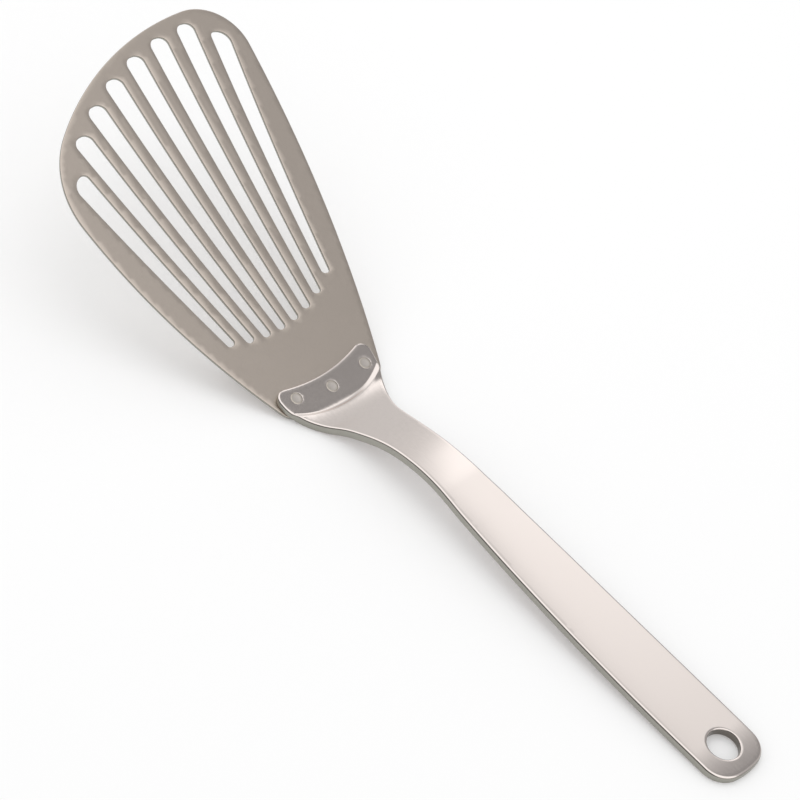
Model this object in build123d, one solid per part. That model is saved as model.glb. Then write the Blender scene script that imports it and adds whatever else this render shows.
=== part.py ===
from build123d import *
from math import atan2, copysign, cos, degrees, radians, sin, sqrt
import os

# A slotted fish spatula of stainless steel, lying as it rests on a table: on the heel of its blade and the
# free end of its handle. Its origin is the middle of the hanging hole, +X to the blade's tip, +Z up. It is
# modelled with the handle's free end over X 0 and the table at Z 0, and then moved to that origin.
# Lengths in mm, angles in degrees.

# Side view of the handle: a thick strip, bent along arcs that meet tangentially
STRIP = 3.0
TAIL_SLOPE = 2.1
TAIL_RADIUS = 1500.0
CREST_SLOPE = 6.7
CREST_RADIUS = 67.0
NECK_SLOPE = 20.0
VALLEY_RADIUS = 21.0
CREASE_RADIUS = 14.0
PLATE_RUN = 14.0

# Plan of the handle: its round end, then the headings of one side as it narrows to the waist, flares, and
# fans out to the plate's horns. The tail's long taper takes up the length that the rest leaves.
END_CAP = 2.4
END_HALF = 10.75
END_CORNER = 7.5
END_HEADING = 0.9
TAPER_HEADING = -2.7
WAIST_HEADING = -5.0
WAIST_RADIUS = 100.0
HIP_HEADING = 0.0
HIP_RADIUS = 230.0
HIP_RUN = 5.5
FLARE_HEADING = 11.0
FLARE_RADIUS = 85.0
FLARE_RUN = 1.0
PLATE_HEADING = 28.0
PLATE_RADIUS = 20.0
PLATE_SIDE = 15.4
HORN_HEADING = 8.0
HORN_RADIUS = 9.0
HORN_RUN = 11.5
PLATE_REACH = 15.45

# Front lip of the plate, hollowed by a circle whose centre lies ahead of the crease and off to the left
LIP_AHEAD = 71.3
LIP_LEFT = 4.2
LIP_RADIUS = 63.6
HORN_CORNER = 3.4
EDGE_ROUND = 0.7

# Front of the plate, pressed down to a thinner step whose back edge is bowed like a smile
STEP_DEPTH = 0.8
SMILE_AHEAD = 34.5
SMILE_LEFT = 1.5
SMILE_RADIUS = 38.1

# Hole to hang the spatula by
HOLE_STATION = 10.0
HOLE_RADIUS = 5.0
HOLE_ROUND = 0.5

# Blade: a thin springy sheet, flat under the plate and then bowed up to the tip
SHEET = 1.0
BLADE_SLOPE = 19.8
FLAT_RUN = 12.0
BOW_RADIUS = 760.0
BOW_ANGLE = 10.0

# Outline of the blade, in its own plane: u from the heel to the tip, v across
HEEL_CORNER = 6.0
LEFT_SIDE = (124.3, 46.0)
LEFT_SIDE_RADIUS = 297.0
RIGHT_SIDE = (138.3, 49.0)
RIGHT_SIDE_RADIUS = 345.0
NOSE_CENTRE = (42.7, -32.2)
NOSE_RADIUS = 95.9
LEFT_CORNER = 34.0
RIGHT_CORNER = 17.5

# Slots: tapered, fanned about one point far behind the blade. Their tips lie on a circle inside the nose.
# The first and the last are set back from it, with their outward corner cut back by a wide round
SLOTS = 8
FAN_CENTRE = (-84.7, -4.0)
FAN_FIRST = 12.2
FAN_STEP = 3.12
SLOT_HEEL_CENTRE = (77.9, 5.9)
SLOT_HEEL_RADIUS = 50.0
SLOT_TIP_SHIFT = (-0.3, -1.5)
SLOT_TIP_MARGIN = 3.6
FIRST_SLOT_SETBACK = 3.0
LAST_SLOT_SETBACK = 6.3
SLOT_HEEL_WIDTH = 3.1
SLOT_TIP_WIDTH = 6.9
SLOT_HEEL_ROUND = 1.3
SLOT_TIP_ROUND = 3.0
SLOT_OUTWARD_ROUND = 4.8
SLOT_INWARD_ROUND = 1.8

# Welds: three slugs through the step and the blade, placed by their upper ends: ahead of the crease, left
WELD_RADIUS = 2.0
LEFT_WELD = (4.4, 14.0)
CENTRE_WELD = (2.8, 0.3)
RIGHT_WELD = (4.5, -15.2)
WELDS = {"left": LEFT_WELD, "centre": CENTRE_WELD, "right": RIGHT_WELD}

# Room that cutting and trimming solids have beyond what they cut
ROOM = 30.0

# Directions count as upright or level by the upward part of their unit vector, and sizes as equal within
# a tiny length
UPRIGHT = 0.3
LEVEL = 0.6
TINY = 0.01


def heading_vector(heading):
    return Vector(cos(radians(heading)), sin(radians(heading)))


def trace(start, heading, runs):
    """Edges of a path whose runs are (radius, turn), or (length, 0) where it is straight."""
    point = Vector(start)
    edges = []
    for size, turn in runs:
        ahead = heading_vector(heading)
        edge = JernArc(point, ahead, size, turn) if turn else Line(point, point + ahead * size)
        edges.append(edge)
        point = edge @ 1
        heading += turn
    return edges


def strip(start, heading, runs, lift, thickness, width):
    """Sheet bent along the runs, its lower face a lift above them, with the same arc centres."""
    up = heading_vector(heading + 90)

    def layer(height):
        layer_runs = [(size - copysign(height, turn) if turn else size, turn) for size, turn in runs]
        return trace(Vector(start) + up * height, heading, layer_runs)

    lower = layer(lift)
    upper = layer(lift + thickness)
    ends = [Line(lower[0] @ 0, upper[0] @ 0), Line(lower[-1] @ 1, upper[-1] @ 1)]
    return extrude(Plane.XZ * make_face(Curve() + lower + upper + ends), width / 2, both=True)


def bend_drop(radius, slope):
    """How far an arc falls while it turns from level to the slope."""
    return radius * (1 - cos(radians(slope)))


# The blade rests on the lower edge of its heel, and the plate lies on the blade's upper face, so the
# lowest point of the handle's bend is this far above the table.
BEND_LIFT = SHEET * cos(radians(BLADE_SLOPE)) - bend_drop(CREASE_RADIUS, BLADE_SLOPE)
CREST_HEIGHT = bend_drop(TAIL_RADIUS, CREST_SLOPE) - bend_drop(TAIL_RADIUS, TAIL_SLOPE)
NECK_FALL = (
    CREST_HEIGHT
    + bend_drop(CREST_RADIUS, CREST_SLOPE)
    - bend_drop(CREST_RADIUS, NECK_SLOPE)
    - bend_drop(VALLEY_RADIUS, NECK_SLOPE)
    - BEND_LIFT
)
HANDLE_RUNS = [
    (TAIL_RADIUS, CREST_SLOPE - TAIL_SLOPE),
    (CREST_RADIUS, -CREST_SLOPE - NECK_SLOPE),
    (NECK_FALL / sin(radians(NECK_SLOPE)), 0),
    (VALLEY_RADIUS, NECK_SLOPE),
    (CREASE_RADIUS, BLADE_SLOPE),
    (PLATE_RUN, 0),
]
BLADE_RUNS = [(FLAT_RUN, 0), (BOW_RADIUS, BOW_ANGLE)]

# Where the plate's straight run starts is the back edge of the blade's upper face
HEEL = trace((0, 0), TAIL_SLOPE, HANDLE_RUNS)[-1] @ 0
BLADE_START = HEEL - heading_vector(BLADE_SLOPE + 90) * SHEET
BLADE_END = trace(BLADE_START, BLADE_SLOPE, BLADE_RUNS)[-1] @ 1
BLADE_PITCH = degrees(atan2(BLADE_END.Y - BLADE_START.Y, BLADE_END.X - BLADE_START.X))
BLADE_PLANE = Plane(
    origin=(HEEL.X, 0, HEEL.Y),
    x_dir=(cos(radians(BLADE_PITCH)), 0, sin(radians(BLADE_PITCH))),
    z_dir=(-sin(radians(BLADE_PITCH)), 0, cos(radians(BLADE_PITCH))),
)


def handle_strip(lift, thickness):
    return strip((0, 0), TAIL_SLOPE, HANDLE_RUNS, lift, thickness, 2 * ROOM)


def handle_outline():
    runs = [
        (WAIST_RADIUS, WAIST_HEADING - TAPER_HEADING),
        (HIP_RADIUS, HIP_HEADING - WAIST_HEADING),
        (HIP_RUN, 0),
        (FLARE_RADIUS, FLARE_HEADING - HIP_HEADING),
        (FLARE_RUN, 0),
        (PLATE_RADIUS, PLATE_HEADING - FLARE_HEADING),
        (PLATE_SIDE, 0),
        (HORN_RADIUS, HORN_HEADING - PLATE_HEADING),
        (HORN_RUN, 0),
    ]
    taper = HEEL.X + PLATE_REACH - END_CAP - (trace((0, 0), TAPER_HEADING, runs)[-1] @ 1).X
    taper_radius = taper / (sin(radians(END_HEADING)) - sin(radians(TAPER_HEADING)))
    runs.insert(0, (taper_radius, TAPER_HEADING - END_HEADING))
    side = Curve() + trace((END_CAP, END_HALF), END_HEADING, runs)
    far = side @ 1
    cap = ThreePointArc((END_CAP, -END_HALF), (0, 0), (END_CAP, END_HALF))
    front = Line(far, (far.X, -far.Y))
    outline = make_face(Curve() + side + mirror(side, Plane.XZ) + cap + front)
    outline = fillet(outline.vertices().group_by(Axis.X)[0], END_CORNER)
    outline -= Pos(HEEL.X + LIP_AHEAD, LIP_LEFT) * Circle(LIP_RADIUS)
    horns = outline.vertices().sort_by(Axis.Y)
    return fillet([horns[0], horns[-1]], HORN_CORNER)


def hole_plane():
    """Plane square to the hanging hole, where its axis meets the middle of the strip's thickness."""
    tail = trace((0, 0), TAIL_SLOPE, HANDLE_RUNS)[0]
    share = HOLE_STATION / (tail @ 1).X
    axis = heading_vector(TAIL_SLOPE + share * (CREST_SLOPE - TAIL_SLOPE) + 90)
    middle = tail @ share + axis * (STRIP / 2)
    return Plane(origin=(middle.X, 0, middle.Y), z_dir=(axis.X, 0, axis.Y))


def weld(name):
    """Slug from the plate's stepped front down to the blade's lower face."""
    ahead, left = WELDS[name]
    height = SHEET + STRIP - STEP_DEPTH
    up = heading_vector(BLADE_SLOPE + 90)
    floor = BLADE_START + up * height
    top = floor + heading_vector(BLADE_SLOPE) * ((HEEL.X + ahead - floor.X) / cos(radians(BLADE_SLOPE)))
    plane = Plane(origin=(top.X, left, top.Y), z_dir=(up.X, 0, up.Y))
    return plane * Cylinder(WELD_RADIUS, height, align=(Align.CENTER, Align.CENTER, Align.MAX))


def circle_reach(angle, centre, radius, side):
    """Distance from the fan's centre, along the angle, to the near (-1) or far (1) side of a circle."""
    ahead = heading_vector(angle)
    across = Vector(centre) - Vector(*FAN_CENTRE)
    middle = across.dot(ahead)
    return middle + side * sqrt(radius**2 - across.length**2 + middle**2)


def blade_outline():
    left = Pos(LEFT_SIDE[0], LEFT_SIDE[1] - LEFT_SIDE_RADIUS) * Circle(LEFT_SIDE_RADIUS)
    right = Pos(RIGHT_SIDE[0], RIGHT_SIDE_RADIUS - RIGHT_SIDE[1]) * Circle(RIGHT_SIDE_RADIUS)
    nose = Pos(*NOSE_CENTRE) * Circle(NOSE_RADIUS)
    ahead = Rectangle(2 * NOSE_RADIUS, 2 * NOSE_RADIUS, align=(Align.MIN, Align.CENTER))
    outline = left & right & nose & ahead
    heel = outline.vertices().group_by(Axis.X)[0]
    outline = fillet(heel, HEEL_CORNER)
    outline = fillet(outline.vertices().sort_by(Axis.Y)[-1], LEFT_CORNER)
    return fillet(outline.vertices().sort_by(Axis.X)[-1], RIGHT_CORNER)


def slot(index):
    """One tapered slot, in the blade's plane."""
    angle = FAN_FIRST - index * FAN_STEP
    heel = circle_reach(angle, SLOT_HEEL_CENTRE, SLOT_HEEL_RADIUS, -1)
    tip_centre = Vector(*NOSE_CENTRE) + Vector(*SLOT_TIP_SHIFT)
    tip = circle_reach(angle, tip_centre, NOSE_RADIUS - SLOT_TIP_MARGIN, 1)
    right_round = left_round = SLOT_TIP_ROUND
    if index == 0:
        tip -= FIRST_SLOT_SETBACK
        right_round, left_round = SLOT_INWARD_ROUND, SLOT_OUTWARD_ROUND
    elif index == SLOTS - 1:
        tip -= LAST_SLOT_SETBACK
        right_round, left_round = SLOT_OUTWARD_ROUND, SLOT_INWARD_ROUND
    heel_half = SLOT_HEEL_WIDTH / 2
    tip_half = SLOT_TIP_WIDTH / 2
    corners = [(heel, -heel_half), (tip, -tip_half), (tip, tip_half), (heel, heel_half)]
    face = make_face(Polyline(*corners, close=True))
    for corner, radius in zip(corners, (SLOT_HEEL_ROUND, right_round, left_round, SLOT_HEEL_ROUND)):
        face = fillet(face.vertices().sort_by_distance(corner)[0], radius)
    return Pos(*FAN_CENTRE) * Rot(0, 0, angle) * face


def rim_edges(body):
    """Edges where the broad faces of a strip meet its upright side faces."""
    upright = [face for face in body.faces() if abs(face.normal_at().Z) < UPRIGHT]
    level = [edge for face in upright for edge in face.edges() if abs((edge % 0.5).Z) < LEVEL]
    return ShapeList(dict.fromkeys(level))


def rounded_strip(thickness):
    """The handle's outline cut from a bent strip, all of its edges rounded off."""
    body = extrude(handle_outline(), ROOM) & handle_strip(0, thickness)
    return fillet(rim_edges(body), EDGE_ROUND)


def handle():
    body = rounded_strip(STRIP) - hole_plane() * Cylinder(HOLE_RADIUS, ROOM)
    bore = body.faces().filter_by(GeomType.CYLINDER).filter_by(
        lambda face: abs(face.radius - HOLE_RADIUS) < TINY
    )
    body = fillet(ShapeList(edge for edge in bore.edges() if abs((edge % 0.5).Z) < LEVEL), HOLE_ROUND)
    smile = extrude(Pos(HEEL.X + SMILE_AHEAD, SMILE_LEFT) * Circle(SMILE_RADIUS), ROOM)
    body = (body - smile) + (rounded_strip(STRIP - STEP_DEPTH) & smile)
    for name in WELDS:
        body -= weld(name)
    return body


def blade():
    outline = blade_outline()
    for index in range(SLOTS):
        outline -= slot(index)
    sheet = strip(BLADE_START, BLADE_SLOPE, BLADE_RUNS, 0, SHEET, 4 * ROOM)
    body = sheet & BLADE_PLANE * extrude(outline, ROOM, both=True)
    for name in WELDS:
        body -= weld(name)
    return body


pieces = {"blade": blade(), "handle": handle()}
for side in WELDS:
    pieces[f"spot_weld_{side}"] = weld(side)

middle = hole_plane().origin
os.makedirs("parts", exist_ok=True)
for name, piece in pieces.items():
    export_step(Pos(-middle) * piece, f"parts/{name}.step")
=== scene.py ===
from math import asin, atan2, cos, degrees, hypot, pi, radians, sin, sqrt

import bmesh
import bpy
import numpy as np
from mathutils import Matrix, Vector
from mathutils.geometry import delaunay_2d_cdt


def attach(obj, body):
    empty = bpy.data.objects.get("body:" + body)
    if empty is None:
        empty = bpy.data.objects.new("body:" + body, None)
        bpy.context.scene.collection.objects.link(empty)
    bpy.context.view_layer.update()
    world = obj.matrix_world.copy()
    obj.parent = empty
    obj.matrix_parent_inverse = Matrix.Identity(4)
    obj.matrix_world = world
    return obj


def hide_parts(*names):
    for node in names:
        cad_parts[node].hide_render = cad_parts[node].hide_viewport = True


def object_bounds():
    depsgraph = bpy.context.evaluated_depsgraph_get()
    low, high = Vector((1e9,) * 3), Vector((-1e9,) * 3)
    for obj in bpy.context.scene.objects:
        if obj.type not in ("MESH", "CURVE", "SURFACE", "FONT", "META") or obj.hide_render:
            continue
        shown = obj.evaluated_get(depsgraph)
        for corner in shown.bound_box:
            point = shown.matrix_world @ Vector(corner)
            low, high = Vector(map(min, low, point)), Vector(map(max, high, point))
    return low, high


# A slotted fish spatula, all of stainless steel, lying on the heel of its blade and the end of its handle.
# The frame is in metres. The sizes below are in millimetres, from the handle's free end and the table.
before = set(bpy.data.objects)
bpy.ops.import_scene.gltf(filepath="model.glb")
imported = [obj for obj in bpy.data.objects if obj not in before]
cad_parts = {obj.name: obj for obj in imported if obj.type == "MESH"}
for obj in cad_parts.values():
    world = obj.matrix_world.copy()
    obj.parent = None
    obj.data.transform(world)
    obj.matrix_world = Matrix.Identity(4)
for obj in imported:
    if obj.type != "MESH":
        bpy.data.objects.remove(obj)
cad_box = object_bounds()
MM = 0.001

# Handle: one strip of 3 mm stainless steel, blanked, bent up, down and up again, and fanned out to a plate
# whose front is pressed down to a thinner step. Its edges are rounded and its faces polished to a satin.
STRIP = 3.0
TAIL_SLOPE = 2.1
TAIL_RADIUS = 1500.0
CREST_SLOPE = 6.7
CREST_RADIUS = 67.0
NECK_SLOPE = 20.0
VALLEY_RADIUS = 21.0
CREASE_RADIUS = 14.0
PLATE_SLOPE = 19.8
PLATE_RUN = 14.0
SHEET = 1.0

END_CAP = 2.4
END_HALF = 10.75
END_CORNER = 7.5
END_HEADING = 0.9
TAPER_HEADING = -2.7
WAIST_HEADING = -5.0
WAIST_RADIUS = 100.0
HIP_HEADING = 0.0
HIP_RADIUS = 230.0
HIP_RUN = 5.5
FLARE_HEADING = 11.0
FLARE_RADIUS = 85.0
FLARE_RUN = 1.0
PLATE_HEADING = 28.0
PLATE_RADIUS = 20.0
PLATE_SIDE = 15.4
HORN_HEADING = 8.0
HORN_RADIUS = 9.0
HORN_RUN = 11.5
PLATE_REACH = 15.45
LIP_AHEAD = 71.3
LIP_LEFT = 4.2
LIP_RADIUS = 63.6
LIP_SPREAD = 32
HORN_CORNER = 3.4

HOLE_STATION = 10.0
HOLE_RADIUS = 5.0
HOLE_ROUND = 0.5
HOLE_RINGS = (0.35, 0.8)
HOLE_TURN = 350
# The bore's walls are painted in the dark line's colour: painted shade inside the hanging hole.
BORE_SHADE = 0.4
TOP_ROUND = 0.7
BOTTOM_ROUND = 0.5
CROWN = 0.22
CROWN_FADE = (30.0, 40.0)
END_DROP = 0.45
END_DROP_RUN = 13.0

STEP_DEPTH = 0.8
STEP_OUTER = 1.3
STEP_INNER = 0.6
STEP_RINGS = 13
SMILE_AHEAD = 34.5
SMILE_LEFT = 1.5
SMILE_RADIUS = 38.1
SMILE_SPREAD = 50
LIP_ROLL = 0.22
LIP_ROLL_RUN = 2.4

WELD_RADIUS = 2.0
WELD_ROUND = 0.06
WELDS = {"left": (4.4, 14.0), "centre": (2.8, 0.3), "right": (4.5, -15.2)}

# How closely the mesh follows the shape: steps along curves, rings across rounded edges, and the size of
# the triangles. Inner points keep a margin from the border, and points closer than a least gap are one.
ARC_STEP = radians(3)
LINE_STEP = 0.7
PROFILE_STEP = 0.2
STEP_EDGE = 0.15
ROW_STEP = 0.5
ROW_MARGIN = 0.2
GRID_MARGIN = 0.6
LEAST_GAP = 0.05
SAME_POINT = 1e-6
CIRCLE_SIDES = 48
TOP_RINGS = 9
EDGE_RINGS = 6
TOP_MESH = 0.8
UNDER_MESH = 1.4


def direction(angle):
    return np.array((cos(radians(angle)), sin(radians(angle))))


def arc(centre, radius, first, last, step=LINE_STEP):
    """Points on a circle from one angle to another, in degrees."""
    turn = abs(radians(last - first))
    count = int(max(turn * radius / step, turn / ARC_STEP)) + 2
    angles = np.radians(np.linspace(first, last, count))
    return np.array(centre) + radius * np.stack((np.cos(angles), np.sin(angles)), 1)


def line(start, end, step=LINE_STEP):
    count = int(hypot(end[0] - start[0], end[1] - start[1]) / step) + 2
    return np.linspace(start, end, count)


def trace(start, heading, runs, lift=0.0, step=LINE_STEP):
    """Points along runs of (radius, turn) or (length, 0), at a lift to their left, with the same centres."""
    point = np.array(start) + lift * direction(heading + 90)
    points = [point[None]]
    for size, turn in runs:
        if turn:
            side = 1 if turn > 0 else -1
            radius = size - side * lift
            centre = point + side * radius * direction(heading + 90)
            bend = arc(centre, radius, heading - side * 90, heading - side * 90 + turn, step)
        else:
            bend = line(point, point + size * direction(heading), step)
        points.append(bend[1:])
        point = bend[-1]
        heading += turn
    return np.concatenate(points)


def mirrored(points):
    return points * (1, -1)


def beside(points, distance, closed=False):
    """The curve at a distance to the left of another."""
    if closed:
        ahead = np.roll(points, -1, 0) - np.roll(points, 1, 0)
    else:
        ahead = np.gradient(points, axis=0)
    ahead = ahead / np.linalg.norm(ahead, axis=1)[:, None]
    return points + distance * np.stack((-ahead[:, 1], ahead[:, 0]), 1)


def crossing(first, second):
    """Where two curves first cross: the point, and how far along each, in steps."""
    p, r = first[:-1, None], np.diff(first, axis=0)[:, None]
    q, s = second[None, :-1], np.diff(second, axis=0)[None]
    area = r[..., 0] * s[..., 1] - r[..., 1] * s[..., 0]
    area = np.where(area == 0, np.inf, area)
    gap = q - p
    t = (gap[..., 0] * s[..., 1] - gap[..., 1] * s[..., 0]) / area
    k = (gap[..., 0] * r[..., 1] - gap[..., 1] * r[..., 0]) / area
    i, j = np.argwhere((t >= 0) & (t <= 1) & (k >= 0) & (k <= 1) & np.isfinite(area))[0]
    return first[i] + t[i, j] * (first[i + 1] - first[i]), i + t[i, j], j + k[i, j]


def along(points, place):
    step = min(int(place), len(points) - 2)
    return points[step] + (place - step) * (points[step + 1] - points[step])


def outline(curves, radii):
    """Closed loop, anticlockwise, of curves that run past each corner, which gets its radius."""
    corners = []
    for index, radius in enumerate(radii):
        first, second = curves[index], curves[(index + 1) % len(curves)]
        corners.append(crossing(beside(first, radius), beside(second, radius)))
    points = []
    for index, curve in enumerate(curves):
        centre, stop, following = corners[index]
        start = corners[index - 1][2]
        inner = curve[int(start) + 1 : int(stop) + 1]
        points += [along(curve, start), *inner, along(curve, stop)]
        towards = along(curve, stop) - centre
        away = along(curves[(index + 1) % len(curves)], following) - centre
        first = degrees(atan2(towards[1], towards[0]))
        turn = (degrees(atan2(away[1], away[0])) - first) % 360
        points += list(arc(centre, radii[index], first, first + turn)[1:-1])
    points = np.array(points)
    gaps = np.linalg.norm(points - np.roll(points, 1, 0), axis=1)
    return points[gaps > LEAST_GAP]


def fall(radius, slope):
    return radius * (1 - cos(radians(slope)))


bend_lift = SHEET * cos(radians(PLATE_SLOPE)) - fall(CREASE_RADIUS, PLATE_SLOPE)
crest_height = fall(TAIL_RADIUS, CREST_SLOPE) - fall(TAIL_RADIUS, TAIL_SLOPE)
neck_fall = (
    crest_height
    + fall(CREST_RADIUS, CREST_SLOPE)
    - fall(CREST_RADIUS, NECK_SLOPE)
    - fall(VALLEY_RADIUS, NECK_SLOPE)
    - bend_lift
)
bends = [
    (TAIL_RADIUS, CREST_SLOPE - TAIL_SLOPE),
    (CREST_RADIUS, -CREST_SLOPE - NECK_SLOPE),
    (neck_fall / sin(radians(NECK_SLOPE)), 0),
    (VALLEY_RADIUS, NECK_SLOPE),
    (CREASE_RADIUS, PLATE_SLOPE),
]
handle_bottom = trace((0, 0), TAIL_SLOPE, bends + [(PLATE_RUN, 0)], 0, PROFILE_STEP)
handle_top = trace((0, 0), TAIL_SLOPE, bends + [(PLATE_RUN, 0)], STRIP, PROFILE_STEP)
heel = trace((0, 0), TAIL_SLOPE, bends)[-1]
tail_end = trace((0, 0), TAIL_SLOPE, bends[:1])[-1]
hole_turn = HOLE_STATION / tail_end[0] * (CREST_SLOPE - TAIL_SLOPE)
hole_slope = TAIL_SLOPE + hole_turn
hole_bottom = trace((0, 0), TAIL_SLOPE, [(TAIL_RADIUS, hole_turn)])[-1]
hole_middle = hole_bottom + STRIP / 2 * direction(hole_slope + 90)

sides = [
    (WAIST_RADIUS, WAIST_HEADING - TAPER_HEADING),
    (HIP_RADIUS, HIP_HEADING - WAIST_HEADING),
    (HIP_RUN, 0),
    (FLARE_RADIUS, FLARE_HEADING - HIP_HEADING),
    (FLARE_RUN, 0),
    (PLATE_RADIUS, PLATE_HEADING - FLARE_HEADING),
    (PLATE_SIDE, 0),
    (HORN_RADIUS, HORN_HEADING - PLATE_HEADING),
    (HORN_RUN, 0),
]
taper = heel[0] + PLATE_REACH - END_CAP - trace((0, 0), TAPER_HEADING, sides)[-1][0]
taper_radius = taper / (sin(radians(END_HEADING)) - sin(radians(TAPER_HEADING)))
sides.insert(0, (taper_radius, TAPER_HEADING - END_HEADING))
left_side = trace((END_CAP, END_HALF), END_HEADING, sides)
right_side = mirrored(left_side)
cap_radius = (END_HALF**2 + END_CAP**2) / (2 * END_CAP)
cap_angle = degrees(asin(END_HALF / cap_radius))
cap = arc((cap_radius, 0), cap_radius, 180 - cap_angle, 180 + cap_angle)
lip_centre = (heel[0] + LIP_AHEAD, LIP_LEFT)


def lip(radius):
    return arc(lip_centre, radius, 180 + LIP_SPREAD, 180 - LIP_SPREAD)


def near_smile(points):
    """How far inside the circle of the smile each point lies."""
    return SMILE_RADIUS - np.linalg.norm(points - (heel[0] + SMILE_AHEAD, SMILE_LEFT), axis=1)


def refined(loop):
    """The loop with more points where it crosses the step's edge."""
    points = []
    for start, end in zip(loop, np.roll(loop, -1, 0)):
        close = abs(near_smile(np.array([start, end]))).min() < STEP_OUTER + STEP_INNER
        parts = int(np.linalg.norm(end - start) / STEP_EDGE) + 1 if close else 1
        points += [start + (end - start) * n / parts for n in range(parts)]
    return np.array(points)


handle_curves = [right_side, lip(LIP_RADIUS), left_side[::-1], cap]
handle_edge = refined(outline(handle_curves, [HORN_CORNER, HORN_CORNER, END_CORNER, END_CORNER]))


class Skin:
    """Vertices and faces of one piece, as rings, bands between them and filled areas."""

    def __init__(self):
        self.points = []
        self.faces = []
        self.cut_and_shade = []

    def ring(self, plan, heights, cut_and_shade=0.0):
        start = len(self.points)
        self.points += [(x, y, z) for (x, y), z in zip(plan, heights)]
        self.cut_and_shade += [cut_and_shade] * len(plan)
        return list(range(start, len(self.points)))

    def band(self, first, second):
        for i in range(len(first)):
            j = (i + 1) % len(first)
            self.faces.append((first[i], first[j], second[j], second[i]))

    def rounding(self, loop, side, height, radius, steps=4, wall=1.0):
        """Rounded edge: rings from the wall to the surface, which lies on that side of the loop."""
        surface, sign = height
        rings = []
        for angle in np.linspace(0, pi / 2, steps):
            plan = beside(loop, side * radius * (1 - cos(angle)), closed=True)
            # Mark of the sheared wall, fading over the rounding: the steel paints a dark reflection line and
            # partly painted wall shade from it.
            cut_and_shade = wall * max(0, cos(2 * angle))
            rings.append(self.ring(plan, surface(plan) - sign * radius * (1 - sin(angle)), cut_and_shade))
        for first, second in zip(rings, rings[1:]):
            self.band(first, second)
        return rings[0], rings[-1]

    def fill(self, rings, surface, step, rows=()):
        """Triangles between the first ring and the others, along the rows and with even inner points."""
        loops = [np.array([self.points[i][:2] for i in ring]) for ring in rings]
        edges = []
        names = []
        for ring in rings:
            count = len(names)
            names += ring
            edges += [(count + i, count + (i + 1) % len(ring)) for i in range(len(ring))]
        for row in rows:
            kept = np.flatnonzero(between(row, loops) & (gaps(row, np.concatenate(loops)) > ROW_MARGIN))
            count = len(names)
            names += self.ring(row[kept], surface(row[kept]))
            edges += [(count + i, count + i + 1) for i in np.flatnonzero(np.diff(kept) == 1).tolist()]
        border = np.array([self.points[i][:2] for i in names])
        low, high = border.min(0), border.max(0)
        lines = [
            [(x + n % 2 * step / 2, y) for x in np.arange(low[0], high[0], step)]
            for n, y in enumerate(np.arange(low[1], high[1], step * sqrt(0.75)))
        ]
        grid = np.concatenate(lines)
        grid = grid[between(grid, loops)]
        grid = grid[gaps(grid, border) > GRID_MARGIN * step]
        names += self.ring(grid, surface(grid))
        flat = [Vector(self.points[i][:2]) for i in names]
        found, _, faces, origins, _, _ = delaunay_2d_cdt(flat, edges, [], 0, SAME_POINT)
        source = [names[origin[0]] for origin in origins]
        centres = np.array([np.mean([found[i] for i in face], 0) for face in faces])
        for face, kept in zip(faces, between(centres, loops)):
            if kept:
                self.faces.append(tuple(source[i] for i in face))

    def build(self, name, material, place):
        mesh = bpy.data.meshes.new(name)
        mesh.from_pydata([place(point) for point in self.points], [], self.faces)
        shape = bmesh.new()
        shape.from_mesh(mesh)
        bmesh.ops.recalc_face_normals(shape, faces=shape.faces)
        shape.to_mesh(mesh)
        shape.free()
        mesh.attributes.new("cut_and_shade", "FLOAT", "POINT").data.foreach_set("value", self.cut_and_shade)
        mesh.materials.append(material)
        mesh.shade_smooth()
        piece = bpy.data.objects.new(name, mesh)
        bpy.context.scene.collection.objects.link(piece)
        return piece


def between(points, loops):
    """Which points lie inside the first loop and outside the others."""
    inside = np.zeros((len(loops), len(points)), bool)
    for index, loop in enumerate(loops):
        for (x0, y0), (x1, y1) in zip(loop, np.roll(loop, -1, 0)):
            if y0 != y1:
                spans = (points[:, 1] < max(y0, y1)) & (points[:, 1] >= min(y0, y1))
                inside[index] ^= spans & (points[:, 0] < x0 + (points[:, 1] - y0) / (y1 - y0) * (x1 - x0))
    return inside[0] & ~inside[1:].any(0)


def gaps(points, border):
    """How far each point lies from the nearest of the border's points."""
    return np.array([np.sqrt(((border - point) ** 2).sum(1).min()) for point in points])


def handle_height(plan):
    """Top of the strip: a slight crown, a drop at the free end, the pressed step and the lip's roll."""
    x, y = plan.T
    edge = np.interp(x, left_side[:, 0], left_side[:, 1])
    fade = np.clip((heel[0] - CROWN_FADE[0] - x) / CROWN_FADE[1], 0, 1)
    crown = CROWN * np.minimum(1, (y / edge) ** 2) * fade
    end = END_DROP * np.clip(1 - x / END_DROP_RUN, 0, None) ** 2
    share = np.clip((near_smile(plan) + STEP_OUTER) / (STEP_OUTER + STEP_INNER), 0, 1)
    step = STEP_DEPTH * (3 * share**2 - 2 * share**3)
    behind_lip = np.linalg.norm(plan - lip_centre, axis=1) - LIP_RADIUS
    roll = LIP_ROLL * np.clip(1 - behind_lip / LIP_ROLL_RUN, 0, 1) ** 2
    return np.interp(x, *handle_top.T) - crown - end - step - roll


def handle_under(plan):
    return np.interp(plan[:, 0], *handle_bottom.T)


def circle(centre, radius, stretch=1.0):
    angles = np.linspace(0, 2 * pi, CIRCLE_SIDES, endpoint=False)
    return np.array(centre) + radius * np.stack((stretch * np.cos(angles), np.sin(angles)), 1)


plate_up = direction(PLATE_SLOPE + 90)
plate_ahead = direction(PLATE_SLOPE)
blade_start = heel - SHEET * plate_up
weld_height = SHEET + STRIP - STEP_DEPTH


def weld_place(name, height):
    """Place of a weld at a height above the blade's lower face: along the side view, and left."""
    ahead, left = WELDS[name]
    floor = blade_start + weld_height * plate_up
    top = floor + plate_ahead * (heel[0] + ahead - floor[0]) / cos(radians(PLATE_SLOPE))
    return top - (weld_height - height) * plate_up, left


def in_frame(x, y, z):
    return ((x - hole_middle[0]) * MM, y * MM, (z - hole_middle[1]) * MM)


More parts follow.
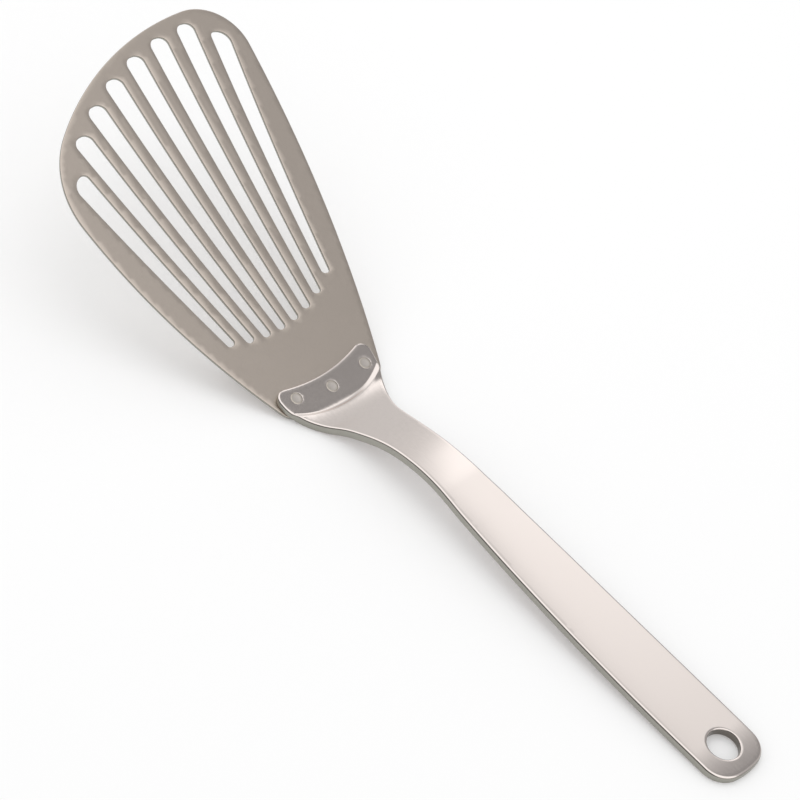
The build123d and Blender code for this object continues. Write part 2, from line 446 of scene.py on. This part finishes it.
def handle_piece(material):
    skin = Skin()
    top = (handle_height, 1)
    bottom = (handle_under, -1)
    shift = STRIP / 2 * sin(radians(hole_slope))
    upper_wall, upper_edge = skin.rounding(handle_edge, 1, top, TOP_ROUND, TOP_RINGS)
    lower_wall, lower_edge = skin.rounding(handle_edge, 1, bottom, BOTTOM_ROUND, EDGE_RINGS)
    skin.band(upper_wall, lower_wall)
    high, low = (circle((HOLE_STATION + way * shift, 0), HOLE_RADIUS) for way in (-1, 1))
    upper_bore, upper_rim = skin.rounding(high, -1, top, HOLE_ROUND, EDGE_RINGS, BORE_SHADE)
    lower_bore, lower_rim = skin.rounding(low, -1, bottom, HOLE_ROUND, EDGE_RINGS, BORE_SHADE)
    skin.band(upper_bore, lower_bore)
    step_rims, under_rims = [], []
    for name in WELDS:
        (x, _), y = weld_place(name, weld_height)
        (low, _), _ = weld_place(name, SHEET)
        foreshortened = cos(radians(PLATE_SLOPE))
        upper, rim = skin.rounding(circle((x, y), WELD_RADIUS, foreshortened), -1, top, WELD_ROUND)
        lower, under = skin.rounding(circle((low, y), WELD_RADIUS, foreshortened), -1, bottom, WELD_ROUND)
        skin.band(upper, lower)
        step_rims.append(rim)
        under_rims.append(under)
    smile_middle = (heel[0] + SMILE_AHEAD, SMILE_LEFT)
    rows = [
        arc(smile_middle, SMILE_RADIUS - inward, 180 - SMILE_SPREAD, 180 + SMILE_SPREAD, ROW_STEP)
        for inward in np.linspace(-STEP_OUTER, STEP_INNER, STEP_RINGS)
    ]
    rows += [
        arc(lip_centre, LIP_RADIUS + behind, 180 - LIP_SPREAD, 180 + LIP_SPREAD, ROW_STEP)
        for behind in np.linspace(TOP_ROUND, LIP_ROLL_RUN, STEP_RINGS)[1:]
    ]
    rows += [
        arc((HOLE_STATION - shift, 0), HOLE_RADIUS + HOLE_ROUND + beyond, 0, HOLE_TURN, ROW_STEP)
        for beyond in HOLE_RINGS
    ]
    skin.fill([upper_edge, upper_rim, *step_rims], handle_height, TOP_MESH, rows)
    skin.fill([lower_edge, lower_rim, *under_rims], handle_under, UNDER_MESH)
    return skin.build("handle_strip", material, lambda point: in_frame(*point))


def linear(code):
    """Linear colour of an sRGB hex code, with its alpha."""
    parts = [int(code[i : i + 2], 16) / 255 for i in (1, 3, 5)]
    return [c / 12.92 if c <= 0.04045 else ((c + 0.055) / 1.055) ** 2.4 for c in parts] + [1.0]


def node(tree, kind, inputs=(), stops=(), **settings):
    """Adds a node with its settings, a ramp's stops, and its inputs, each a value or another node's socket."""
    made = tree.nodes.new(kind)
    for name, value in settings.items():
        setattr(made, name, value)
    for index, (place, colour) in enumerate(stops):
        ramp = made.color_ramp.elements
        stop = ramp[index] if index < 2 else ramp.new(place)
        stop.position, stop.color = place, colour
    for name, value in dict(inputs).items():
        if isinstance(value, bpy.types.NodeSocket):
            tree.links.new(value, made.inputs[name])
        else:
            made.inputs[name].default_value = value
    return made


GRAIN = (0.3, 0.7)
GRAIN_TINT = 0.015
GRAIN_GLOSS = 0.12
GRAIN_BUMP = 0.2
GRAIN_DEPTH = 0.01
# Where the painted dark reflection line lies, between the polished face and the wall.
PAINTED_DARK_LINE_PLACE = 0.4


def steel(name, face, painted_dark_line, cut_and_shade, roughness, dull, grain_mm):
    """Stainless steel, from its face over a painted dark reflection line to its sheared walls, which are
    duller and whose colour is partly painted shade.
    """
    material = bpy.data.materials.new(name)
    material.use_nodes = True
    tree = material.node_tree
    place = node(tree, "ShaderNodeTexCoord").outputs["Object"]
    along, across = (1 / (size * MM) for size in grain_mm)
    stretched = node(tree, "ShaderNodeMapping", {"Vector": place, "Scale": (along, across, across)})
    grain = node(tree, "ShaderNodeTexNoise", {"Vector": stretched.outputs[0], "Scale": 1.0, "Detail": 3.0})
    on_cut_and_shade = node(tree, "ShaderNodeAttribute", attribute_name="cut_and_shade").outputs["Fac"]
    shades = [(0.0, linear(face)), (PAINTED_DARK_LINE_PLACE, linear(painted_dark_line)), (1.0, linear(cut_and_shade))]
    shade = node(tree, "ShaderNodeValToRGB", {0: on_cut_and_shade}, shades)
    lines = {0: grain.outputs[0], 1: GRAIN[0], 2: GRAIN[1]}
    tint = node(tree, "ShaderNodeMapRange", {**lines, 3: 1 - GRAIN_TINT, 4: 1 + GRAIN_TINT}).outputs[0]
    tinted = node(tree, "ShaderNodeVectorMath", {0: shade.outputs[0], "Scale": tint}, operation="SCALE")
    spread = {3: roughness * (1 - GRAIN_GLOSS), 4: roughness * (1 + GRAIN_GLOSS)}
    rough = node(tree, "ShaderNodeMapRange", {**lines, **spread})
    blend = node(tree, "ShaderNodeMix", {0: on_cut_and_shade, 2: rough.outputs[0], 3: dull})
    relief = {"Height": grain.outputs[0], "Strength": GRAIN_BUMP, "Distance": GRAIN_DEPTH * MM}
    bump = node(tree, "ShaderNodeBump", relief)
    shader = tree.nodes["Principled BSDF"]
    shader.inputs["Metallic"].default_value = 1.0
    tree.links.new(tinted.outputs[0], shader.inputs["Base Color"])
    tree.links.new(blend.outputs[0], shader.inputs["Roughness"])
    tree.links.new(bump.outputs[0], shader.inputs["Normal"])
    return material


# Satin polish: soft, bright reflections, drawn out by fine lines along the strip, and duller sheared walls. A
# dark reflection line is painted along each rounded edge, and the walls' darker colour is partly painted
# shade.
satin = steel("satin polished stainless steel", "#e2d9d4", "#77726c", "#a6a49c", 0.15, 0.4, (25.0, 0.35))
handle = handle_piece(satin)
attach(handle, "root")
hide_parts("handle")

# Blade: a springy sheet of 1 mm stainless steel, blanked with its eight tapered slots, bowed up to the tip
# and welded under the plate. It is left a duller, finer grained satin than the handle.
FLAT_RUN = 12.0
BOW_RADIUS = 760.0
BOW_ANGLE = 10.0
HEEL_CORNER = 6.0
LEFT_SIDE = (124.3, 46.0)
LEFT_SIDE_RADIUS = 297.0
RIGHT_SIDE = (138.3, 49.0)
RIGHT_SIDE_RADIUS = 345.0
NOSE_CENTRE = (42.7, -32.2)
NOSE_RADIUS = 95.9
LEFT_CORNER = 34.0
RIGHT_CORNER = 17.5
LEFT_SPAN = (85, 118)
RIGHT_SPAN = (245, 275)
NOSE_SPAN = (-30, 100)
HEEL_SPAN = 60
SLOTS = 8
FAN_CENTRE = (-84.7, -4.0)
FAN_FIRST = 12.2
FAN_STEP = 3.12
SLOT_HEEL_CENTRE = (77.9, 5.9)
SLOT_HEEL_RADIUS = 50.0
SLOT_TIP_SHIFT = (-0.3, -1.5)
SLOT_TIP_MARGIN = 3.6
FIRST_SLOT_SETBACK = 3.0
LAST_SLOT_SETBACK = 6.3
SLOT_HEEL_WIDTH = 3.1
SLOT_TIP_WIDTH = 6.9
SLOT_HEEL_ROUND = 1.3
SLOT_TIP_ROUND = 3.0
SLOT_OUTWARD_ROUND = 4.8
SLOT_INWARD_ROUND = 1.8
SHEET_ROUND = 0.22
SHEET_MESH = 1.5

blade_runs = [(FLAT_RUN, 0), (BOW_RADIUS, BOW_ANGLE)]
blade_end = trace(blade_start, PLATE_SLOPE, blade_runs)[-1]
pitch = degrees(atan2(*(blade_end - blade_start)[::-1]))
blade_axes = np.stack((direction(pitch), direction(pitch + 90)))
blade_bottom = (trace(blade_start, PLATE_SLOPE, blade_runs) - heel) @ blade_axes.T
blade_top = (trace(blade_start, PLATE_SLOPE, blade_runs, SHEET) - heel) @ blade_axes.T


def blade_height(plan):
    return np.interp(plan[:, 0], *blade_top.T)


def blade_under(plan):
    return np.interp(plan[:, 0], *blade_bottom.T)


def reach(angle, centre, radius, side):
    """From the fan's centre, along the angle, to the near (-1) or far (1) side of a circle."""
    across = np.array(centre) - FAN_CENTRE
    middle = across @ direction(angle)
    return middle + side * sqrt(radius**2 - across @ across + middle**2)


def slot_edge(index):
    angle = FAN_FIRST - index * FAN_STEP
    near = reach(angle, SLOT_HEEL_CENTRE, SLOT_HEEL_RADIUS, -1)
    far = reach(angle, np.add(NOSE_CENTRE, SLOT_TIP_SHIFT), NOSE_RADIUS - SLOT_TIP_MARGIN, 1)
    right_round = left_round = SLOT_TIP_ROUND
    if index == 0:
        far -= FIRST_SLOT_SETBACK
        right_round, left_round = SLOT_INWARD_ROUND, SLOT_OUTWARD_ROUND
    elif index == SLOTS - 1:
        far -= LAST_SLOT_SETBACK
        right_round, left_round = SLOT_OUTWARD_ROUND, SLOT_INWARD_ROUND
    slim, wide = SLOT_HEEL_WIDTH / 2, SLOT_TIP_WIDTH / 2
    corners = [(near, -slim), (far, -wide), (far, wide), (near, slim)]
    loop = outline(
        [line(corners[n], corners[(n + 1) % 4]) for n in range(4)],
        [right_round, left_round, SLOT_HEEL_ROUND, SLOT_HEEL_ROUND],
    )
    ahead = direction(angle)
    return loop @ np.stack((ahead, (-ahead[1], ahead[0]))) + FAN_CENTRE


def blade_edge():
    left_centre = (LEFT_SIDE[0], LEFT_SIDE[1] - LEFT_SIDE_RADIUS)
    right_centre = (RIGHT_SIDE[0], RIGHT_SIDE_RADIUS - RIGHT_SIDE[1])
    curves = [
        arc(right_centre, RIGHT_SIDE_RADIUS, *RIGHT_SPAN),
        arc(NOSE_CENTRE, NOSE_RADIUS, *NOSE_SPAN),
        arc(left_centre, LEFT_SIDE_RADIUS, *LEFT_SPAN),
        line((0, HEEL_SPAN), (0, -HEEL_SPAN)),
    ]
    return outline(curves, [RIGHT_CORNER, LEFT_CORNER, HEEL_CORNER, HEEL_CORNER])


def blade_piece(material):
    skin = Skin()
    top = (blade_height, 1)
    bottom = (blade_under, -1)
    uppers, lowers = [], []
    holes = [(slot_edge(index), slot_edge(index)) for index in range(SLOTS)]
    for name in WELDS:
        places = []
        for height in (SHEET, 0):
            point, left = weld_place(name, height)
            u, _ = blade_axes @ (point - heel)
            places.append(circle((u, left), WELD_RADIUS))
        holes.append(places)
    edge = blade_edge()
    for side, (upper, lower) in [(1, (edge, edge))] + [(-1, pair) for pair in holes]:
        upper_wall, upper_edge = skin.rounding(upper, side, top, SHEET_ROUND)
        lower_wall, lower_edge = skin.rounding(lower, side, bottom, SHEET_ROUND)
        skin.band(upper_wall, lower_wall)
        uppers.append(upper_edge)
        lowers.append(lower_edge)
    skin.fill(uppers, blade_height, SHEET_MESH)
    skin.fill(lowers, blade_under, SHEET_MESH)

    def place(point):
        x, z = heel + np.array((point[0], point[2])) @ blade_axes
        return in_frame(x, point[1], z)

    return skin.build("blade_sheet", material, place)


# Spring sheet as rolled, with a light brushing: duller than the handle, its reflections spread wide. Its face
# colour is darker than the handle's, partly for the brushing and partly as painted shade for the darker
# reflections of its tilted face.
brushed_and_shaded = steel("brushed spring stainless steel", "#cabfb5", "#77726c", "#a6a49c", 0.33, 0.42, (12.0, 0.3))
blade = blade_piece(brushed_and_shaded)
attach(blade, "root")
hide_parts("blade")

# Spot welds: three slugs of steel, melted through the plate's step and the blade by pressed electrodes.
# Each shows as a small disc inside a fine groove, its rim a little browned by the heat.
SLUG_RINGS = 14
SLUG_STEPS = 4
SLUG_DISH = 0.03
SLUG_HOLLOW = (0.75, 0.2)
SLUG_END = 0.499

tree = bpy.data.node_groups.new("weld slugs", "GeometryNodeTree")
tree.interface.new_socket("Centres", in_out="INPUT", socket_type="NodeSocketGeometry")
for label in ("Radius", "Height", "Round", "Dish", "Tilt"):
    tree.interface.new_socket(label, in_out="INPUT", socket_type="NodeSocketFloat")
tree.interface.new_socket("Finish", in_out="INPUT", socket_type="NodeSocketMaterial")
tree.interface.new_socket("Slugs", in_out="OUTPUT", socket_type="NodeSocketGeometry")
asked = node(tree, "NodeGroupInput").outputs
slug = node(
    tree,
    "GeometryNodeMeshCylinder",
    {
        "Vertices": CIRCLE_SIDES,
        "Side Segments": SLUG_STEPS,
        "Fill Segments": SLUG_RINGS,
        "Radius": asked["Radius"],
        "Depth": asked["Height"],
    },
    fill_type="TRIANGLE_FAN",
)
spot = node(tree, "ShaderNodeSeparateXYZ", {0: node(tree, "GeometryNodeInputPosition").outputs[0]}).outputs
level_spot = node(tree, "ShaderNodeCombineXYZ", {0: spot[0], 1: spot[1]})
out = node(tree, "ShaderNodeVectorMath", {0: level_spot.outputs[0]}, operation="LENGTH").outputs["Value"]
share = node(tree, "ShaderNodeMath", {0: out, 1: asked["Radius"]}, operation="DIVIDE").outputs[0]
inner = node(tree, "ShaderNodeMath", {0: asked["Radius"], 1: asked["Round"]}, operation="SUBTRACT").outputs[0]
edge = node(tree, "ShaderNodeMapRange", {0: out, 1: inner, 2: asked["Radius"]}).outputs[0]
edge_fall = node(tree, "ShaderNodeMath", {0: edge, 1: 2.0}, operation="POWER").outputs[0]
edge_drop = node(tree, "ShaderNodeMath", {0: edge_fall, 1: asked["Round"]}, operation="MULTIPLY").outputs[0]
hollowed = {0: share, 1: SLUG_HOLLOW[0], 2: SLUG_HOLLOW[1]}
hollow = node(tree, "ShaderNodeMapRange", hollowed, interpolation_type="SMOOTHSTEP").outputs[0]
hollow_drop = node(tree, "ShaderNodeMath", {0: hollow, 1: asked["Dish"]}, operation="MULTIPLY").outputs[0]
drop = node(tree, "ShaderNodeMath", {0: edge_drop, 1: hollow_drop}, operation="ADD").outputs[0]
foot = node(tree, "ShaderNodeMath", {0: asked["Height"], 1: -SLUG_END}, operation="MULTIPLY").outputs[0]
head = node(tree, "ShaderNodeMath", {0: asked["Height"], 1: SLUG_END}, operation="MULTIPLY").outputs[0]
on_top = node(tree, "ShaderNodeMath", {0: spot[2], 1: head}, operation="GREATER_THAN").outputs[0]
on_foot = node(tree, "ShaderNodeMath", {0: spot[2], 1: foot}, operation="LESS_THAN").outputs[0]
inward = node(tree, "ShaderNodeMath", {0: on_foot, 1: on_top}, operation="SUBTRACT").outputs[0]
sink = node(tree, "ShaderNodeMath", {0: drop, 1: inward}, operation="MULTIPLY").outputs[0]
offset = node(tree, "ShaderNodeCombineXYZ", {2: sink}).outputs[0]
marked = node(tree, "GeometryNodeStoreNamedAttribute", {0: slug.outputs[0], "Name": "rim", "Value": share})
sunk = node(tree, "GeometryNodeSetPosition", {0: marked.outputs[0], "Offset": offset})
tilt = node(tree, "ShaderNodeCombineXYZ", {1: asked["Tilt"]}).outputs[0]
instances = {"Points": asked["Centres"], "Instance": sunk.outputs[0], "Rotation": tilt}
placed = node(tree, "GeometryNodeInstanceOnPoints", instances)
whole_slugs = node(tree, "GeometryNodeRealizeInstances", {0: placed.outputs[0]})
smooth = node(tree, "GeometryNodeSetShadeSmooth", {0: whole_slugs.outputs[0]})
finished = node(tree, "GeometryNodeSetMaterial", {0: smooth.outputs[0], "Material": asked["Finish"]})
node(tree, "NodeGroupOutput", {0: finished.outputs[0]})

# Weld metal: a pale, slightly pitted disc, with straw-brown heat tint towards its rim.
weld_metal = bpy.data.materials.new("heat tinted weld")
weld_metal.use_nodes = True
tree_metal = weld_metal.node_tree
rim = node(tree_metal, "ShaderNodeAttribute", attribute_name="rim").outputs["Fac"]
tints = [
    (0.0, linear("#e6ded8")),
    (0.6, linear("#e2dad3")),
    (0.85, linear("#dad1c7")),
    (1.0, linear("#c9bfb3")),
]
PIT_SIZE = 0.4
PIT_DEPTH = 0.03
spot_place = node(tree_metal, "ShaderNodeTexCoord").outputs["Object"]
noise = {"Vector": spot_place, "Scale": 1 / (PIT_SIZE * MM), "Detail": 2.0}
pits = node(tree_metal, "ShaderNodeTexNoise", noise)
tinted = node(tree_metal, "ShaderNodeValToRGB", {0: rim}, tints)
shader = tree_metal.nodes["Principled BSDF"]
shader.inputs["Metallic"].default_value = 1.0
shader.inputs["Roughness"].default_value = 0.3
tree_metal.links.new(tinted.outputs[0], shader.inputs["Base Color"])
dents = {"Height": pits.outputs[0], "Strength": 0.5, "Distance": PIT_DEPTH * MM}
pitted = node(tree_metal, "ShaderNodeBump", dents)
tree_metal.links.new(pitted.outputs[0], shader.inputs["Normal"])

centres = bpy.data.meshes.new("weld centres")
middles = [weld_place(name, weld_height / 2) for name in WELDS]
centres.from_pydata([in_frame(place[0], left, place[1]) for place, left in middles], [], [])
seed = bpy.data.objects.new("weld centres", centres)
bpy.context.scene.collection.objects.link(seed)
press = seed.modifiers.new("weld slugs", "NODES")
press.node_group = tree
given = {
    "Radius": WELD_RADIUS * MM,
    "Height": weld_height * MM,
    "Round": WELD_ROUND * MM,
    "Dish": SLUG_DISH * MM,
    "Tilt": -radians(PLATE_SLOPE),
    "Finish": weld_metal,
}
for socket in tree.interface.items_tree:
    if socket.name in given:
        press[socket.identifier] = given[socket.name]
depsgraph = bpy.context.evaluated_depsgraph_get()
welds_mesh = bpy.data.meshes.new_from_object(seed.evaluated_get(depsgraph), depsgraph=depsgraph)
bpy.data.objects.remove(seed)
welds_mesh.name = "weld_slugs"
welds = bpy.data.objects.new("weld_slugs", welds_mesh)
bpy.context.scene.collection.objects.link(welds)
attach(welds, "root")
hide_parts(*("spot_weld_" + name for name in WELDS))

# Studio: a white table in a white room, with one soft lamp high up behind. The polished steel mirrors a
# bright window behind the table, with darker walls on its left and towards the camera.
FLOOR = cad_box[0][2]
TABLE_HALF = 3.0
TABLE_WHITE = 0.8
TABLE_GLOW = 0.15
SKY = 0.92
LAMP_ENERGY = 2.0
LAMP_SIZE = 0.9
LAMP_REACH = 1.1
LAMP_WAY = Vector((0.2, -0.15, 1.0)).normalized()
LAMP_AIM = Vector((0.14, 0, 0))

floor = bpy.data.objects.new("table", bpy.data.meshes.new("table"))
bpy.context.scene.collection.objects.link(floor)
corners = [(x * TABLE_HALF, y * TABLE_HALF, FLOOR) for x, y in ((-1, -1), (1, -1), (1, 1), (-1, 1))]
floor.data.from_pydata(corners, [], [(0, 1, 2, 3)])
paper = bpy.data.materials.new("white table")
paper.use_nodes = True
paper_tree = paper.node_tree
seen_by = node(paper_tree, "ShaderNodeLightPath").outputs
first_two = {0: seen_by["Is Camera Ray"], 1: seen_by["Is Glossy Ray"]}
direct = node(paper_tree, "ShaderNodeMath", first_two, operation="MAXIMUM")
all_three = {0: direct.outputs[0], 1: seen_by["Is Transmission Ray"]}
shown = node(paper_tree, "ShaderNodeMath", all_three, operation="MAXIMUM")
glow = node(paper_tree, "ShaderNodeMath", {0: shown.outputs[0], 1: TABLE_GLOW}, operation="MULTIPLY")
shader = paper_tree.nodes["Principled BSDF"]
shader.inputs["Base Color"].default_value = (TABLE_WHITE, TABLE_WHITE, TABLE_WHITE, 1)
shader.inputs["Roughness"].default_value = 1.0
shader.inputs["Specular IOR Level"].default_value = 0.0
shader.inputs["Emission Color"].default_value = (1, 1, 1, 1)
paper_tree.links.new(glow.outputs[0], shader.inputs["Emission Strength"])
floor.data.materials.append(paper)

BEHIND = (
    (-1.0, 0.5), (-0.25, 0.52), (-0.15, 0.42), (-0.08, 0.31), (0.0, 0.34), (0.08, 0.35), (0.13, 0.6),
    (0.18, 1.15), (0.22, 1.3), (0.3, 1.4), (0.48, 1.4), (0.6, 1.1), (0.8, 1.0), (1.0, 0.9),
)
SHADE = 0.72
WINDOW_EDGE = -0.485
WINDOW_SLANT = 0.18
WINDOW_BLUR = 0.03
SKIRTING = (-0.88, -0.72)
SKIRTING_LEVEL = 0.05
LEFT_WALL = (0.1, 0.18)
OVERHEAD = 1.25
CEILING = (-0.46, -0.36)
FRONT = (0.6, 0.74)
FRONT_LEVEL = 0.12
world = bpy.data.worlds.new("studio")
bpy.context.scene.world = world
world.use_nodes = True
world.cycles.sampling_method = "NONE"
tree = world.node_tree
tree.nodes.clear()
way = node(tree, "ShaderNodeTexCoord").outputs["Generated"]
x, y, _ = node(tree, "ShaderNodeSeparateXYZ", {0: way}).outputs
across = node(tree, "ShaderNodeMapRange", {0: x, 1: -1.0, 2: 1.0})
stops = [((place + 1) / 2, (level, level, level, 1)) for place, level in BEHIND]
behind = node(tree, "ShaderNodeValToRGB", {0: across.outputs[0]}, stops).outputs[0]
shaded = node(tree, "ShaderNodeMath", {0: behind, 1: SHADE}, operation="MINIMUM").outputs[0]
slanted = node(tree, "ShaderNodeMath", {0: x, 1: WINDOW_SLANT, 2: y}, operation="MULTIPLY_ADD").outputs[0]
blurred = {0: slanted, 1: WINDOW_EDGE - WINDOW_BLUR, 2: WINDOW_EDGE + WINDOW_BLUR}
beyond = node(tree, "ShaderNodeMapRange", blurred).outputs[0]
window = node(tree, "ShaderNodeMix", {0: beyond, 2: behind, 3: shaded}).outputs[0]
skirting_span = {0: y, 1: SKIRTING[0], 2: SKIRTING[1], 3: SKIRTING_LEVEL, 4: 1.0}
skirting = node(tree, "ShaderNodeMapRange", skirting_span).outputs[0]
left_span = {0: x, 1: LEFT_WALL[0], 2: LEFT_WALL[1], 3: 1.0, 4: 0.0}
left_wall = node(tree, "ShaderNodeMapRange", left_span).outputs[0]
low = node(tree, "ShaderNodeMath", {0: skirting, 1: left_wall}, operation="MAXIMUM").outputs[0]
back = node(tree, "ShaderNodeMath", {0: window, 1: low}, operation="MULTIPLY").outputs[0]
over = node(tree, "ShaderNodeMapRange", {0: y, 1: CEILING[0], 2: CEILING[1]}).outputs[0]
room = node(tree, "ShaderNodeMix", {0: over, 2: back, 3: OVERHEAD}).outputs[0]
front_span = {0: y, 1: FRONT[0], 2: FRONT[1], 3: 1.0, 4: FRONT_LEVEL}
front = node(tree, "ShaderNodeMapRange", front_span).outputs[0]
studio = node(tree, "ShaderNodeMath", {0: room, 1: front}, operation="MULTIPLY").outputs[0]
path = node(tree, "ShaderNodeLightPath").outputs
seen_rays = {0: path["Is Camera Ray"], 1: path["Is Transmission Ray"]}
seen = node(tree, "ShaderNodeMath", seen_rays, operation="MAXIMUM")
plain = node(tree, "ShaderNodeMix", {0: seen.outputs[0], 2: SKY, 3: 1.0})
level = node(tree, "ShaderNodeMix", {0: path["Is Glossy Ray"], 2: plain.outputs[0], 3: studio})
light = node(tree, "ShaderNodeBackground", {0: (1, 1, 1, 1), 1: level.outputs[0]})
node(tree, "ShaderNodeOutputWorld", {0: light.outputs[0]})

lamp = bpy.data.lights.new("soft lamp", "AREA")
lamp.shape = "DISK"
lamp.size = LAMP_SIZE
lamp.energy = LAMP_ENERGY
lamp_stand = bpy.data.objects.new("soft lamp", lamp)
bpy.context.scene.collection.objects.link(lamp_stand)
lamp_stand.location = LAMP_AIM + LAMP_WAY * LAMP_REACH
lamp_stand.rotation_euler = LAMP_WAY.to_track_quat("Z", "Y").to_euler()
lamp_stand.visible_glossy = False

LENS = 99
SENSOR = 36
camera = bpy.data.cameras.new("camera")
camera.lens = LENS
camera.sensor_width = SENSOR
eye = bpy.data.objects.new("camera", camera)
bpy.context.scene.collection.objects.link(eye)
EYE = Vector((-0.14910247, 0.38683623, 0.47947130))
RIGHT = Vector((-0.671199, -0.718666, 0.181689))
UP = Vector((0.601109, -0.384253, 0.700726))
turned = Matrix((RIGHT, UP, RIGHT.cross(UP))).transposed().to_4x4()
eye.matrix_world = Matrix.Translation(EYE) @ turned
bpy.context.scene.camera = eye
bpy.context.scene.view_settings.view_transform = "Standard"
